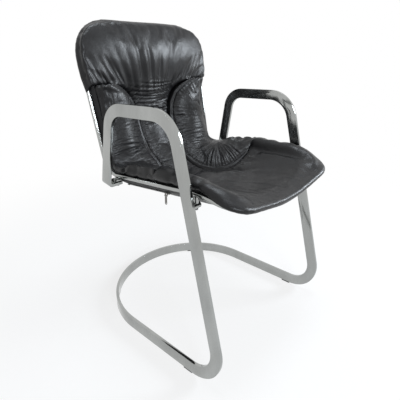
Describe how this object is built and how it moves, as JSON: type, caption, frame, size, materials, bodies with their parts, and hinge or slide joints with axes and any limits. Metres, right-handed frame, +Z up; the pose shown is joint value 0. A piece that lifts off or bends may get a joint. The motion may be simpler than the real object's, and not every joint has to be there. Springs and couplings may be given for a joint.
{
  "type": "armchair",
  "caption": "Cantilever armchair with a flat chromed steel bar frame, rod seat frame and deeply dished padded black leather sling.",
  "frame": {"origin": "middle of the overall box on the floor, under the glides", "axes": "+Z up, -Y towards the chair's front edge, +X to the right as seen from the front, which is the sitter's left; left and right in node names are as seen from the front"},
  "size_m": [0.5, 0.5719, 0.837],
  "materials": {
    "chrome_steel": "polished, lightly worn",
    "plain_steel": "plain",
    "screw_steel": "zinc plated",
    "glide_rubber": "matt",
    "webbing": "woven",
    "padded_leather": "soft sheen, fine grain",
    "cover_leather": "soft sheen, fine grain",
    "zip_cloth": "woven",
    "zip_metal": "nickel plated, worn"
  },
  "bodies": {
    "chair": {"base_runner": "chrome_steel", "left_arm_bar": "chrome_steel", "right_arm_bar": "chrome_steel", "left_side_rail": "chrome_steel", "right_side_rail": "chrome_steel", "top_bow": "chrome_steel", "front_bow": "chrome_steel", "front_stubs": "chrome_steel", "front_spacers": "chrome_steel", "rear_barrels": "chrome_steel", "leg_joint_pins": "plain_steel", "bow_pins": "plain_steel", "stub_studs": "plain_steel", "left_strap_tabs": "plain_steel", "right_strap_tabs": "plain_steel", "strap_rivets": "plain_steel", "front_mount_screws": "screw_steel", "rear_mount_screws": "screw_steel", "front_glides": "glide_rubber", "rear_glides": "glide_rubber", "seat_straps": "webbing", "back_straps": "webbing", "back_cushion": "padded_leather", "waist_panel": "padded_leather", "seat_cushion": "padded_leather", "left_wing": "padded_leather", "right_wing": "padded_leather", "top_roll": "padded_leather", "front_roll": "padded_leather", "rear_cover": "cover_leather", "under_cover": "cover_leather", "zip_tape": "zip_cloth", "zip_chain": "zip_metal", "zip_stops": "zip_metal"},
    "slider": {"zip_slider": "zip_metal"},
    "pull": {"zip_pull": "zip_metal"}
  },
  "joints": [
    {"name": "zip_travel", "type": "slide", "parent": "chair", "child": "slider", "axis": [0, 0.9954, -0.0953], "range_m": [0, 0.14]},
    {"name": "pull_swing", "type": "hinge", "parent": "slider", "child": "pull", "pos_m": [-0.20111, -0.04793, 0.42156], "axis": [1, 0, 0], "range_deg": [-70, 70]}
  ]
}
